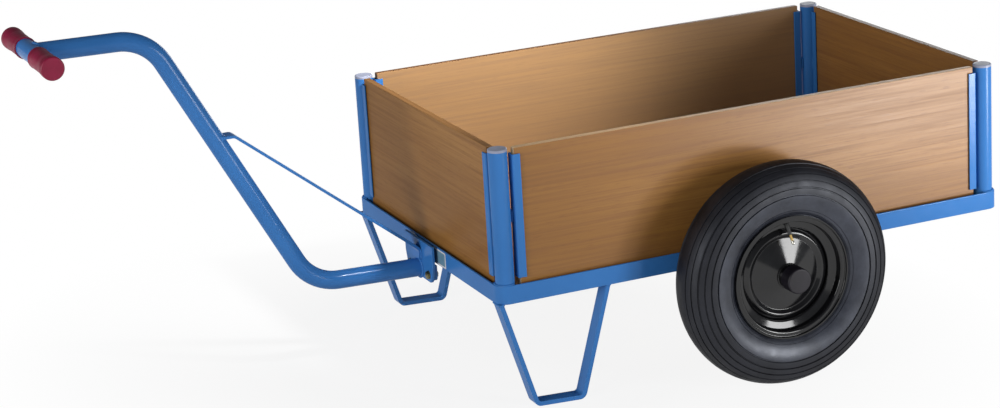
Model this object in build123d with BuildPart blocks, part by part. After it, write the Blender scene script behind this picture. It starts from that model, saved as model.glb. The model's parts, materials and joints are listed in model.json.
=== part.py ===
from build123d import *
import os
from math import asin, atan2, cos, degrees, hypot, sin, radians, tan

# Two-wheeled handcart: a boarded tray on an angle-steel frame, pulled by a bent tube with a cross handle.
# The cart is laid out level, X forward to the handle, Y to the left and Z up from the frame's underside.
# Each finished piece is then set down the way the cart parks, nose a little down on its two leg loops.

# Frame of angle steel: one leg stands outside, the other lies at the bottom
FRAME_LENGTH = 1012
FRAME_WIDTH = 670
ANGLE_LEG = 33
ANGLE_THICKNESS = 4
ANGLE_EDGE_ROUND = 1.2
BRACE_X = 250
BRACE_WIDTH = 40
BRACE_GAP = 0.5

# Corner posts of round tube with a plastic plug on top
POST_DIAMETER = 33.7
POST_WALL = 2
POST_BELOW_BOARD = 3.7
POST_FIT = 0.2
CAP_HEAD = 5
CAP_ROUND = 1.8
CAP_PLUG = 14
CAP_PLUG_WALL = 2.5
CAP_FIT = 0.15

# Floor and lift-out wall boards
FLOOR_THICKNESS = 15
FLOOR_PLAY = 2
BOARD_THICKNESS = 12
BOARD_HEIGHT = 253
BOARD_EDGE = 0.8
BOARD_SIDE_PLAY = 1.5
BOARD_END_PLAY = 3
BOARD_SEAT_GAP = 0.2

# Folded channels that guide the boards, each held to its post by one short weld
CHANNEL_WALL = 2
CHANNEL_DEPTH = 15
CHANNEL_BEND = 2.4
CHANNEL_STANDOFF = 4.5
CHANNEL_OFFSET = 3.5
CHANNEL_LIFT = 8.5
CHANNEL_BELOW_BOARD = 11
CHANNEL_WELD_HEIGHT = 22
CHANNEL_WELD_WIDTH = 7
CHANNEL_WELD_FIT = 0.1

# Leg loops of flat bar under the front corners
LEG_FRONT_INSET = 0.5
LEG_TOP_SPAN = 212
LEG_FOOT_SPAN = 95
LEG_DROP = 198.6
LEG_WIDTH = 27
LEG_THICKNESS = 8
LEG_BEND = 14
LEG_INSET = 3

# Axle: a square bar under the frame with turned stubs
AXLE_X = -8
AXLE_SQUARE = 30
AXLE_STUB_DIAMETER = 20
AXLE_SHOULDER_GAP = 1
AXLE_STUB_PROUD = 10
AXLE_CLEARANCE = 0.05
AXLE_END_CHAMFER = 1.5

# Wheels: a pressed steel rim and disc on a tubular hub, with a plain round-shouldered tyre
TYRE_DIAMETER = 406
TYRE_WIDTH = 94
TYRE_GAP = 19
TYRE_SHOULDER_X = 36
TYRE_SHOULDER_DROP = 13
TYRE_WALL = 9
TYRE_FIT = 0.3
RIM_BEAD_RADIUS = 101.6
RIM_FLANGE_RADIUS = 112
RIM_WIDTH = 64
RIM_LIP = 5
RIM_SHEET = 2.5
RIM_WELL_RADIUS = 86
RIM_WELL_WIDTH = 28
RIM_LEDGE = 14
RIM_BEND = 3
DISC_SEAT = 9
DISC_RING_RADIUS = 74
DISC_RING_X = 15
DISC_DISH_RADIUS = 66
DISC_DISH_X = 9
DISC_HUB_X = 24
HUB_DIAMETER = 42
HUB_LENGTH = 90
HUB_FIT = 0.1
HUB_CHAMFER = 1
HUB_CAP_LENGTH = 26
HUB_CAP_OVERLAP = 7
HUB_CAP_WALL = 2
HUB_CAP_ROUND = 3
VALVE_RADIUS = 3.4
VALVE_BASE_RADIUS = 4.2
VALVE_BASE_LENGTH = 14
VALVE_LENGTH = 38
VALVE_LEAN = 52

# Bracket plate on the frame's front face, and the drawbar's flange plate bolted against it
BRACKET_THICKNESS = 8
BRACKET_NECK_HALF = 38
BRACKET_TAIL_HALF = 54
BRACKET_TOP_Z = 30
BRACKET_SHOULDER_Z = -3
BRACKET_BOTTOM_Z = -33
PLATE_THICKNESS = 5
PLATE_HALF_TOP = 65
PLATE_HALF_BOTTOM = 54
PLATE_TOP_Z = 36
PLATE_BOTTOM_Z = -35
PLATE_CORNER = 10
PLATE_EDGE = 0.8

# Drawbar: one round tube with two bends, welded to the flange plate
BAR_DIAMETER = 33.7
BAR_WALL = 2.6
BAR_BEND = 90
BAR_FOOT_Z = -18
BAR_HEEL_X = 728
BAR_HEEL_RISE = 7.3
BAR_SHOULDER_X = 986
BAR_SHOULDER_DROP = 4

# Stay: a flat bar from the rising tube back to the flange plate
STAY_WIDTH = 30
STAY_THICKNESS = 5
STAY_BEND = 12
STAY_TOP_Z = 286
STAY_TAB = 15
STAY_FOOT_TOP_Z = 20
STAY_FOOT_BOTTOM_Z = 2
STAY_FIT = 0.1

# Cross handle with two closed grips
HANDLE_X = 1185
HANDLE_Z = 483
HANDLE_DIAMETER = 33.7
HANDLE_WALL = 2.6
HANDLE_LENGTH = 272
HANDLE_FIT = 0.1
GRIP_DIAMETER = 37.4
GRIP_LENGTH = 92
GRIP_END = 4
GRIP_FLARE = 1.4
GRIP_FLARE_LENGTH = 20
GRIP_LAND = 14
GRIP_CUFF = 0.7
GRIP_CUFF_LENGTH = 12
GRIP_SWEEP = 60
GRIP_END_ROUND = 2.4
GRIP_CUFF_ROUND = 0.7

# Sizes that follow
POST_RADIUS = POST_DIAMETER / 2
FRAME_CORNER = POST_RADIUS + POST_FIT + ANGLE_THICKNESS
POST_X = FRAME_LENGTH / 2 - FRAME_CORNER
POST_Y = FRAME_WIDTH / 2 - FRAME_CORNER
FLOOR_TOP = ANGLE_THICKNESS + FLOOR_THICKNESS
BOARD_BOTTOM = FLOOR_TOP + BOARD_SEAT_GAP
BOARD_TOP = BOARD_BOTTOM + BOARD_HEIGHT
POST_TOP = BOARD_TOP - POST_BELOW_BOARD
POST_LENGTH = POST_TOP - ANGLE_THICKNESS
CHANNEL_WIDTH = BOARD_THICKNESS + 2 * BOARD_SIDE_PLAY + 2 * CHANNEL_WALL
CHANNEL_BOTTOM = ANGLE_LEG + CHANNEL_LIFT
CHANNEL_TOP = BOARD_TOP - CHANNEL_BELOW_BOARD
CHANNEL_BACK = POST_RADIUS + CHANNEL_STANDOFF
BOARD_SETBACK = CHANNEL_BACK + CHANNEL_WALL + BOARD_END_PLAY
LEG_X = FRAME_LENGTH / 2 - LEG_FRONT_INSET - LEG_TOP_SPAN / 2
AXLE_Z = -AXLE_SQUARE / 2
TYRE_RADIUS = TYRE_DIAMETER / 2
WHEEL_Y = FRAME_WIDTH / 2 + TYRE_GAP + TYRE_WIDTH / 2
HUB_RADIUS = HUB_DIAMETER / 2
BAR_RADIUS = BAR_DIAMETER / 2
PLATE_BACK = FRAME_LENGTH / 2 + BRACKET_THICKNESS
PLATE_FRONT = PLATE_BACK + PLATE_THICKNESS
BAR_HEEL_Z = BAR_FOOT_Z + BAR_HEEL_RISE
BAR_SHOULDER_Z = HANDLE_Z - BAR_SHOULDER_DROP
HANDLE_RADIUS = HANDLE_DIAMETER / 2
GRIP_RADIUS = GRIP_DIAMETER / 2
GRIP_END_RADIUS = GRIP_RADIUS + GRIP_FLARE

# Parked stance: the nose dips until the foot loops and the tyres share one floor
LEG_AHEAD = LEG_X - AXLE_X
LEG_BELOW = AXLE_Z + LEG_DROP
NOSE_DOWN = degrees(asin(TYRE_RADIUS / hypot(LEG_AHEAD, LEG_BELOW)) - atan2(LEG_BELOW, LEG_AHEAD))
TILT_SIN = sin(radians(NOSE_DOWN))
TILT_COS = cos(radians(NOSE_DOWN))
FRONT_REACH = HANDLE_X * TILT_COS + HANDLE_Z * TILT_SIN + GRIP_END_RADIUS
REAR_REACH = -FRAME_LENGTH / 2 * TILT_COS + ANGLE_EDGE_ROUND * TILT_SIN
STANCE_X = -(FRONT_REACH + REAR_REACH) / 2
STANCE_Z = TYRE_RADIUS + AXLE_X * TILT_SIN - AXLE_Z * TILT_COS
STANCE = Location((STANCE_X, 0, STANCE_Z), (0, NOSE_DOWN, 0))

# Corner and side tables: name, then the sign along X and along Y
CORNERS = (
    ("front_left", 1, 1),
    ("front_right", 1, -1),
    ("rear_left", -1, 1),
    ("rear_right", -1, -1),
)
ENDS = (("front", 1), ("rear", -1))
SIDES = (("left", 1), ("right", -1))


def set_down(piece, label):
    """Puts a finished piece in the parked stance and writes it under its name."""
    parked = piece.part.moved(STANCE)
    parked.label = label
    export_step(parked, f"parts/{label}.step")


os.makedirs("parts", exist_ok=True)

# Frame ring with rounded corners that wrap the posts
with BuildPart() as deck_frame:
    with BuildSketch():
        RectangleRounded(FRAME_LENGTH, FRAME_WIDTH, FRAME_CORNER)
        offset(amount=-ANGLE_THICKNESS, mode=Mode.SUBTRACT)
    extrude(amount=ANGLE_LEG)
    with BuildSketch():
        RectangleRounded(FRAME_LENGTH, FRAME_WIDTH, FRAME_CORNER)
        Rectangle(FRAME_LENGTH - 2 * ANGLE_LEG, FRAME_WIDTH - 2 * ANGLE_LEG, mode=Mode.SUBTRACT)
    extrude(amount=ANGLE_THICKNESS)
    outer_foot = deck_frame.faces().sort_by(Axis.Z)[0].outer_wire().edges()
    fillet(outer_foot, ANGLE_EDGE_ROUND)
    upper_rim = deck_frame.faces().sort_by(Axis.Z)[-1].edges()
    fillet(upper_rim, ANGLE_EDGE_ROUND)
set_down(deck_frame, "deck_frame")

# Two flat straps under the floor, level with the lying legs of the angle
for end, ahead in ENDS:
    strap_length = FRAME_WIDTH - 2 * ANGLE_LEG - 2 * BRACE_GAP
    with BuildPart() as strap:
        with BuildSketch():
            with Locations((ahead * BRACE_X, 0)):
                Rectangle(BRACE_WIDTH, strap_length)
        extrude(amount=ANGLE_THICKNESS)
        chamfer(strap.faces().sort_by(Axis.Z)[0].edges().filter_by(Axis.Y), ANGLE_EDGE_ROUND)
    set_down(strap, f"floor_brace_{end}")

# Floor board on the lying legs of the angle, notched round the posts
with BuildPart() as floor_board:
    notch = FRAME_CORNER + POST_RADIUS - ANGLE_THICKNESS
    floor_length = FRAME_LENGTH - 2 * ANGLE_THICKNESS - 2 * FLOOR_PLAY
    floor_width = FRAME_WIDTH - 2 * ANGLE_THICKNESS - 2 * FLOOR_PLAY
    with BuildSketch(Plane.XY.offset(ANGLE_THICKNESS)):
        Rectangle(floor_length, floor_width)
        with GridLocations(floor_length, floor_width, 2, 2):
            Rectangle(2 * notch, 2 * notch, mode=Mode.SUBTRACT)
    extrude(amount=FLOOR_THICKNESS)
set_down(floor_board, "floor_board")

# Corner posts, their plugs and the two board channels on each
for corner, ahead, aside in CORNERS:
    post_spot = (ahead * POST_X, aside * POST_Y)

    with BuildPart() as post:
        with BuildSketch(Plane.XY.offset(ANGLE_THICKNESS)):
            with Locations(post_spot):
                Circle(POST_RADIUS)
                Circle(POST_RADIUS - POST_WALL, mode=Mode.SUBTRACT)
        extrude(amount=POST_LENGTH)
    set_down(post, f"post_{corner}")

    plug_radius = POST_RADIUS - POST_WALL - CAP_FIT
    with BuildPart() as cap:
        with BuildSketch(Plane.XY.offset(POST_TOP)):
            with Locations(post_spot):
                Circle(POST_RADIUS)
        extrude(amount=CAP_HEAD)
        fillet(cap.edges().group_by(Axis.Z)[-1], CAP_ROUND)
        with BuildSketch(Plane.XY.offset(POST_TOP)):
            with Locations(post_spot):
                Circle(plug_radius)
                Circle(plug_radius - CAP_PLUG_WALL, mode=Mode.SUBTRACT)
        extrude(amount=-CAP_PLUG)
    set_down(cap, f"post_cap_{corner}")

    # One channel opens along X for the side wall, the other along Y for the end wall
    for wall, along, across in (("side", (-ahead, 0), (0, aside)), ("end", (0, -aside), (ahead, 0))):
        channel_plane = Plane(
            origin=(
                post_spot[0] + CHANNEL_OFFSET * across[0],
                post_spot[1] + CHANNEL_OFFSET * across[1],
                CHANNEL_BOTTOM,
            ),
            x_dir=(along[0], along[1], 0),
            z_dir=(0, 0, 1),
        )
        weld_y = -CHANNEL_OFFSET * (across[0] * channel_plane.y_dir.X + across[1] * channel_plane.y_dir.Y)
        with BuildPart() as channel:
            with BuildSketch(channel_plane) as folded:
                with Locations((CHANNEL_BACK + CHANNEL_DEPTH / 2, 0)):
                    Rectangle(CHANNEL_DEPTH, CHANNEL_WIDTH)
                fillet(folded.vertices().group_by(Axis.X)[0], CHANNEL_BEND)
                with Locations((CHANNEL_BACK + CHANNEL_WALL, 0)):
                    Rectangle(
                        CHANNEL_DEPTH,
                        CHANNEL_WIDTH - 2 * CHANNEL_WALL,
                        align=(Align.MIN, Align.CENTER),
                        mode=Mode.SUBTRACT,
                    )
            extrude(amount=CHANNEL_TOP - CHANNEL_BOTTOM)
            weld_start = (CHANNEL_TOP - CHANNEL_BOTTOM - CHANNEL_WELD_HEIGHT) / 2
            with BuildSketch(channel_plane.offset(weld_start)):
                with Locations((CHANNEL_BACK + CHANNEL_WALL / 2, weld_y)):
                    Rectangle(
                        CHANNEL_STANDOFF + CHANNEL_WALL,
                        CHANNEL_WELD_WIDTH,
                        align=(Align.MAX, Align.CENTER),
                    )
                with Locations((0, weld_y)):
                    Circle(POST_RADIUS + CHANNEL_WELD_FIT, mode=Mode.SUBTRACT)
            extrude(amount=CHANNEL_WELD_HEIGHT)
        set_down(channel, f"board_channel_{corner}_{wall}")

# Wall boards, slid down between the channels onto the floor board
WALLS = (
    ("side_board_left", 0, 1),
    ("side_board_right", 0, -1),
    ("end_board_front", 1, 0),
    ("end_board_rear", -1, 0),
)
for wall, ahead, aside in WALLS:
    board_x = ahead * (POST_X + CHANNEL_OFFSET)
    board_y = aside * (POST_Y + CHANNEL_OFFSET)
    size_x = BOARD_THICKNESS if ahead else 2 * (POST_X - BOARD_SETBACK)
    size_y = BOARD_THICKNESS if aside else 2 * (POST_Y - BOARD_SETBACK)
    with BuildPart() as board:
        with BuildSketch(Plane.XY.offset(BOARD_BOTTOM)):
            with Locations((board_x, board_y)):
                Rectangle(size_x, size_y)
        extrude(amount=BOARD_HEIGHT)
        chamfer(board.edges(), BOARD_EDGE)
    set_down(board, wall)

# Leg loops: flat bar bent into a trapezoid, its foot lying along the floor
foot_rise = LEG_FOOT_SPAN / 2 * tan(radians(NOSE_DOWN))
strut_lead = (LEG_TOP_SPAN - LEG_FOOT_SPAN) / 2 / LEG_DROP
leg_overrun = 2 * LEG_THICKNESS
leg_outline = (
    (LEG_X + LEG_TOP_SPAN / 2 + leg_overrun * strut_lead, leg_overrun),
    (LEG_X + LEG_FOOT_SPAN / 2, -LEG_DROP + foot_rise),
    (LEG_X - LEG_FOOT_SPAN / 2, -LEG_DROP - foot_rise),
    (LEG_X - LEG_TOP_SPAN / 2 - leg_overrun * strut_lead, leg_overrun),
)
for side, aside in SIDES:
    leg_y = aside * (FRAME_WIDTH / 2 - LEG_INSET - LEG_WIDTH / 2)
    with BuildPart() as leg:
        with BuildSketch(Plane.XZ.offset(-leg_y)):
            with BuildLine():
                loop = FilletPolyline(*leg_outline, radius=LEG_BEND)
                offset(loop, amount=LEG_THICKNESS, side=Side.RIGHT)
            make_face()
        extrude(amount=LEG_WIDTH / 2, both=True)
        split(bisect_by=Plane.XY, keep=Keep.BOTTOM)
    set_down(leg, f"leg_{side}")

# Axle bar welded under the frame, with a turned stub for each wheel
shoulder_y = WHEEL_Y - HUB_LENGTH / 2 - AXLE_SHOULDER_GAP
stub_end_y = WHEEL_Y + HUB_LENGTH / 2 + AXLE_STUB_PROUD
with BuildPart() as axle:
    with BuildSketch(Plane.XZ):
        with Locations((AXLE_X, AXLE_Z)):
            Rectangle(AXLE_SQUARE, AXLE_SQUARE)
    extrude(amount=shoulder_y, both=True)
    with BuildSketch(Plane.XZ):
        with Locations((AXLE_X, AXLE_Z)):
            Circle(AXLE_STUB_DIAMETER / 2)
    extrude(amount=stub_end_y, both=True)
    chamfer(axle.faces().filter_by(Axis.Y).group_by(Axis.Y)[0].edges(), AXLE_END_CHAMFER)
    chamfer(axle.faces().filter_by(Axis.Y).group_by(Axis.Y)[-1].edges(), AXLE_END_CHAMFER)
set_down(axle, "axle")

# Wheel sections, drawn as distance out from the wheel's middle against radius
half_rim = RIM_WIDTH / 2 + RIM_SHEET / 2
lip_radius = RIM_FLANGE_RADIUS - RIM_SHEET / 2
seat_radius = RIM_BEAD_RADIUS - RIM_SHEET / 2
well_radius = RIM_WELL_RADIUS
rim_half_section = (
    (half_rim + RIM_LIP, lip_radius),
    (half_rim, lip_radius),
    (half_rim, seat_radius),
    (half_rim - RIM_LEDGE, seat_radius),
    (RIM_WELL_WIDTH / 2, well_radius),
)
rim_section = rim_half_section + tuple((-out, radius) for out, radius in reversed(rim_half_section))
disc_radius = well_radius - RIM_SHEET
disc_section = (
    (0, disc_radius),
    (DISC_SEAT, disc_radius),
    (DISC_RING_X, DISC_RING_RADIUS),
    (DISC_DISH_X, DISC_DISH_RADIUS),
    (DISC_HUB_X, HUB_RADIUS - RIM_SHEET),
)
valve_spot = (half_rim - RIM_LEDGE + RIM_SHEET, (seat_radius + well_radius) / 2)
bead_half = RIM_WIDTH / 2 - TYRE_FIT
bead_radius = RIM_BEAD_RADIUS + TYRE_FIT
heel_radius = RIM_FLANGE_RADIUS + TYRE_FIT
bulge_radius = (heel_radius + TYRE_RADIUS) / 2
shoulder_radius = TYRE_RADIUS - TYRE_SHOULDER_DROP

for side, aside in SIDES:
    wheel_axis = Axis((AXLE_X, 0, AXLE_Z), (0, 1, 0))
    section_plane = Plane(
        origin=(AXLE_X, aside * WHEEL_Y, AXLE_Z),
        x_dir=(0, aside, 0),
        z_dir=(aside, 0, 0),
    )
    valve_root = section_plane.from_local_coords((*valve_spot, 0))
    lean = radians(VALVE_LEAN)
    valve_plane = Plane(origin=valve_root, z_dir=section_plane.x_dir * cos(lean) - section_plane.y_dir * sin(lean))

    with BuildPart() as tyre:
        with BuildSketch(section_plane):
            with BuildLine():
                outer_wall = ThreePointArc(
                    (bead_half, heel_radius),
                    (TYRE_WIDTH / 2, bulge_radius),
                    (TYRE_SHOULDER_X, shoulder_radius),
                )
                ThreePointArc(outer_wall @ 1, (0, TYRE_RADIUS), (-TYRE_SHOULDER_X, shoulder_radius))
                ThreePointArc(
                    (-TYRE_SHOULDER_X, shoulder_radius),
                    (-TYRE_WIDTH / 2, bulge_radius),
                    (-bead_half, heel_radius),
                )
                Polyline(
                    (-bead_half, heel_radius),
                    (-bead_half, bead_radius + RIM_BEND),
                    (-bead_half + RIM_BEND, bead_radius),
                    (-bead_half + TYRE_WALL, bead_radius),
                    (-bead_half + TYRE_WALL, heel_radius),
                    (-TYRE_WIDTH / 2 + TYRE_WALL, bulge_radius),
                    (-TYRE_SHOULDER_X + TYRE_WALL, shoulder_radius - TYRE_WALL),
                    (0, TYRE_RADIUS - TYRE_WALL),
                    (TYRE_SHOULDER_X - TYRE_WALL, shoulder_radius - TYRE_WALL),
                    (TYRE_WIDTH / 2 - TYRE_WALL, bulge_radius),
                    (bead_half - TYRE_WALL, heel_radius),
                    (bead_half - TYRE_WALL, bead_radius),
                    (bead_half - RIM_BEND, bead_radius),
                    (bead_half, bead_radius + RIM_BEND),
                    (bead_half, heel_radius),
                )
            make_face()
        revolve(axis=wheel_axis)
    set_down(tyre, f"tyre_{side}")

    with BuildPart() as rim:
        with BuildSketch(section_plane):
            with BuildLine():
                barrel = FilletPolyline(*rim_section, radius=RIM_BEND)
            trace(barrel, line_width=RIM_SHEET)
            with BuildLine():
                pressed_disc = FilletPolyline(*disc_section, radius=RIM_BEND)
            trace(pressed_disc, line_width=RIM_SHEET)
        revolve(axis=wheel_axis)
        with Locations(Plane(origin=section_plane.origin, z_dir=section_plane.x_dir)):
            Cylinder(HUB_RADIUS + HUB_FIT, HUB_LENGTH, mode=Mode.SUBTRACT)
        with BuildSketch(valve_plane):
            Circle(VALVE_BASE_RADIUS + TYRE_FIT)
        extrude(amount=VALVE_BASE_LENGTH, both=True, mode=Mode.SUBTRACT)
    set_down(rim, f"rim_{side}")

    with BuildPart() as valve:
        with BuildSketch(valve_plane):
            Circle(VALVE_BASE_RADIUS)
        extrude(amount=VALVE_BASE_LENGTH / 2, both=True)
        with BuildSketch(valve_plane):
            Circle(VALVE_RADIUS)
        extrude(amount=VALVE_LENGTH)
    set_down(valve, f"valve_{side}")

    bore_radius = AXLE_STUB_DIAMETER / 2 + AXLE_CLEARANCE
    with BuildPart() as hub:
        with BuildSketch(section_plane) as hub_section:
            with Locations((0, bore_radius)):
                Rectangle(HUB_LENGTH, HUB_RADIUS - bore_radius, align=(Align.CENTER, Align.MIN))
            chamfer(hub_section.vertices().group_by(Axis.Y)[-1], HUB_CHAMFER)
        revolve(axis=wheel_axis)
    set_down(hub, f"hub_{side}")

    cap_start = HUB_LENGTH / 2 - HUB_CAP_OVERLAP
    cap_end = cap_start + HUB_CAP_LENGTH
    cap_bore = HUB_RADIUS + HUB_FIT
    with BuildPart() as hub_cap:
        with BuildSketch(section_plane) as cup_section:
            with BuildLine():
                Polyline(
                    (cap_start, cap_bore),
                    (cap_start, cap_bore + HUB_CAP_WALL),
                    (cap_end, cap_bore + HUB_CAP_WALL),
                    (cap_end, 0),
                    (cap_end - HUB_CAP_WALL, 0),
                    (cap_end - HUB_CAP_WALL, cap_bore),
                    close=True,
                )
            make_face()
            fillet(cup_section.vertices().group_by(Axis.Y)[-1].sort_by(Axis.X)[-1], HUB_CAP_ROUND)
        revolve(axis=wheel_axis)
    set_down(hub_cap, f"hub_cap_{side}")

# Shouldered bracket plate: its neck stands on the frame's front face, its tail hangs below
with BuildPart() as front_bracket:
    with BuildSketch(Plane.YZ.offset(FRAME_LENGTH / 2)) as tongue:
        with BuildLine():
            Polyline(
                (-BRACKET_NECK_HALF, BRACKET_TOP_Z),
                (BRACKET_NECK_HALF, BRACKET_TOP_Z),
                (BRACKET_NECK_HALF, BRACKET_SHOULDER_Z),
                (BRACKET_TAIL_HALF, BRACKET_SHOULDER_Z),
                (BRACKET_TAIL_HALF, BRACKET_BOTTOM_Z),
                (-BRACKET_TAIL_HALF, BRACKET_BOTTOM_Z),
                (-BRACKET_TAIL_HALF, BRACKET_SHOULDER_Z),
                (-BRACKET_NECK_HALF, BRACKET_SHOULDER_Z),
                close=True,
            )
        make_face()
        fillet(tongue.vertices().group_by(Axis.Y)[0], PLATE_CORNER)
    extrude(amount=BRACKET_THICKNESS)
set_down(front_bracket, "front_bracket")

# Flange plate: square above, drawn in below the bolts
with BuildPart() as flange_plate:
    with BuildSketch(Plane.YZ.offset(PLATE_BACK)) as shield:
        with BuildLine():
            Polyline(
                (-PLATE_HALF_TOP, PLATE_TOP_Z),
                (PLATE_HALF_TOP, PLATE_TOP_Z),
                (PLATE_HALF_TOP, 0),
                (PLATE_HALF_BOTTOM, PLATE_BOTTOM_Z),
                (-PLATE_HALF_BOTTOM, PLATE_BOTTOM_Z),
                (-PLATE_HALF_TOP, 0),
                close=True,
            )
        make_face()
        fillet(shield.vertices().group_by(Axis.Y)[0], PLATE_CORNER)
    extrude(amount=PLATE_THICKNESS)
    chamfer(flange_plate.faces().sort_by(Axis.X)[-1].edges(), PLATE_EDGE)
set_down(flange_plate, "drawbar_flange")

# Drawbar tube: level run, riser and handle run in the cart's middle plane
with BuildPart() as drawbar:
    with BuildLine(Plane.XZ) as bar_run:
        FilletPolyline(
            (PLATE_BACK, BAR_FOOT_Z),
            (BAR_HEEL_X, BAR_HEEL_Z),
            (BAR_SHOULDER_X, BAR_SHOULDER_Z),
            (HANDLE_X, HANDLE_Z),
            radius=BAR_BEND,
        )
    with BuildSketch(Plane(origin=bar_run.line @ 0, z_dir=bar_run.line % 0)):
        Circle(BAR_RADIUS)
        Circle(BAR_RADIUS - BAR_WALL, mode=Mode.SUBTRACT)
    sweep(path=bar_run.line)
    split(bisect_by=Plane.YZ.offset(PLATE_FRONT), keep=Keep.TOP)
    with Locations((HANDLE_X, 0, HANDLE_Z)):
        Cylinder(HANDLE_RADIUS + HANDLE_FIT, HANDLE_LENGTH, rotation=(90, 0, 0), mode=Mode.SUBTRACT)
set_down(drawbar, "drawbar")

# Stay of flat bar: a short level tab on the riser, a straight run, and a foot flat on the flange plate
riser_run = BAR_SHOULDER_X - BAR_HEEL_X
riser_rise = BAR_SHOULDER_Z - BAR_HEEL_Z
riser_x = BAR_HEEL_X + (STAY_TOP_Z - BAR_HEEL_Z) * riser_run / riser_rise
tab_x = riser_x - BAR_RADIUS * hypot(riser_run, riser_rise) / riser_rise - STAY_TAB
stay_foot_x = PLATE_FRONT + STAY_THICKNESS / 2
with BuildPart() as stay:
    with BuildSketch(Plane.XZ):
        with BuildLine():
            strip = FilletPolyline(
                (riser_x, STAY_TOP_Z),
                (tab_x, STAY_TOP_Z),
                (stay_foot_x, STAY_FOOT_TOP_Z),
                (stay_foot_x, STAY_FOOT_BOTTOM_Z),
                radius=STAY_BEND,
            )
        trace(strip, line_width=STAY_THICKNESS)
    extrude(amount=STAY_WIDTH / 2, both=True)
    with Locations(Plane(origin=(riser_x, 0, STAY_TOP_Z), z_dir=(riser_run, 0, riser_rise))):
        Cylinder(BAR_RADIUS + STAY_FIT, 2 * STAY_WIDTH, mode=Mode.SUBTRACT)
set_down(stay, "stay")

# Cross handle tube, and a closed grip on each end
with BuildPart() as handle_tube:
    with BuildSketch(Plane.XZ):
        with Locations((HANDLE_X, HANDLE_Z)):
            Circle(HANDLE_RADIUS)
            Circle(HANDLE_RADIUS - HANDLE_WALL, mode=Mode.SUBTRACT)
    extrude(amount=HANDLE_LENGTH / 2 - GRIP_END - HANDLE_FIT, both=True)
set_down(handle_tube, "handle_tube")

grip_bore = HANDLE_RADIUS + HANDLE_FIT
for side, aside in SIDES:
    grip_plane = Plane(
        origin=(HANDLE_X, aside * (HANDLE_LENGTH / 2 - GRIP_LENGTH), HANDLE_Z),
        x_dir=(0, aside, 0),
        z_dir=(aside, 0, 0),
    )
    with BuildPart() as grip:
        with BuildSketch(grip_plane) as sleeve:
            with BuildLine():
                FilletPolyline(
                    (0, GRIP_RADIUS + GRIP_CUFF),
                    (GRIP_CUFF_LENGTH, GRIP_RADIUS),
                    (GRIP_LENGTH - GRIP_LAND - GRIP_FLARE_LENGTH, GRIP_RADIUS),
                    (GRIP_LENGTH - GRIP_LAND, GRIP_END_RADIUS),
                    (GRIP_LENGTH, GRIP_END_RADIUS),
                    radius=GRIP_SWEEP,
                )
                Polyline(
                    (GRIP_LENGTH, GRIP_END_RADIUS),
                    (GRIP_LENGTH, 0),
                    (GRIP_LENGTH - GRIP_END, 0),
                    (GRIP_LENGTH - GRIP_END, grip_bore),
                    (0, grip_bore),
                    (0, GRIP_RADIUS + GRIP_CUFF),
                )
            make_face()
            fillet(sleeve.vertices().group_by(Axis.X)[-1].sort_by(Axis.Y)[-1], GRIP_END_ROUND)
            fillet(sleeve.vertices().group_by(Axis.X)[0].sort_by(Axis.Y)[-1], GRIP_CUFF_ROUND)
        revolve(axis=Axis((HANDLE_X, 0, HANDLE_Z), (0, 1, 0)))
    set_down(grip, f"grip_{side}")
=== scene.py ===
import json
from math import atan2, cos, hypot, pi, radians, sin, sqrt

import bmesh
import bpy
from mathutils import Matrix, Vector


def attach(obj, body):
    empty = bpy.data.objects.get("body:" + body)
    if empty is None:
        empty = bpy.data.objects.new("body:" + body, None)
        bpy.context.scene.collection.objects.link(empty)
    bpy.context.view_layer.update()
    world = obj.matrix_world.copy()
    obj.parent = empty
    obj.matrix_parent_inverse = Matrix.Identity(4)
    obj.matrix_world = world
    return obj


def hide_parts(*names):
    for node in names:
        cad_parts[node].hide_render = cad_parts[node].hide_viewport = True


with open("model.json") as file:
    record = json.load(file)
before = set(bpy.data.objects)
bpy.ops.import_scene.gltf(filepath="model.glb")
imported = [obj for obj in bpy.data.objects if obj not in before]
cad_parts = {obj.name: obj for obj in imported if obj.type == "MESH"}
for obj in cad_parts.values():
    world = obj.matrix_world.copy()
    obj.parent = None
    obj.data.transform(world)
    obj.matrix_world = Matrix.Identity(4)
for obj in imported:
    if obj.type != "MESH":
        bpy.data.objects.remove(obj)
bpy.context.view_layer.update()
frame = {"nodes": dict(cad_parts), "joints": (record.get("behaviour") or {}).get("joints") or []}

nodes = frame["nodes"]
scene = bpy.context.scene
scene.view_settings.view_transform = "Standard"

# The cart stands nose down: the walls' slide axis gives the lean, and the wheel joints give the place
joints = {joint["name"]: joint for joint in frame["joints"]}
LIFT = Vector(joints["left_wall_lift"]["axis"])
LEAN = atan2(LIFT.x, LIFT.z)
hub_left = Vector(joints["left_wheel_spin"]["pos_m"])
hub_right = Vector(joints["right_wheel_spin"]["pos_m"])
hub_middle = (hub_left + hub_right) / 2
SIDES = (("left", 1, hub_left), ("right", -1, hub_right))

# Sizes of the level cart in millimetres: X ahead to the handle, Y to the left, Z up from under the frame
MILLIMETRE = 0.001
AHEAD = Vector((1, 0, 0))
LEFT = Vector((0, 1, 0))
UP = Vector((0, 0, 1))
FRAME_FRONT = 506
FRAME_SIDE = 335
ANGLE_LEG = 33
POST_RADIUS = 16.85
POST_X = 484.95
POST_Y = 313.95
WELD_TAB_MIDDLE = 151.4
WELD_TAB_HALF = 11
LEG_X = 399.5
LEG_TOP_HALF = 106
LEG_THICKNESS = 8
LEG_SIDE = 332
LEG_WIDTH = 27
AXLE_X = -8
AXLE_Z = -15
AXLE_HALF = 15
BRACE_X = 250
BRACE_HALF = 20
PLATE_FRONT = 519
BRACKET_TAIL_BACK = 506
BAR_RADIUS = 16.85
BAR_FOOT_Z = -18
BAR_SHOULDER_X = 986
BAR_SHOULDER_Z = 479
HANDLE_X = 1185
HANDLE_Z = 483
RISER_AHEAD = 258
RISER_RISE = 489.7
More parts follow.
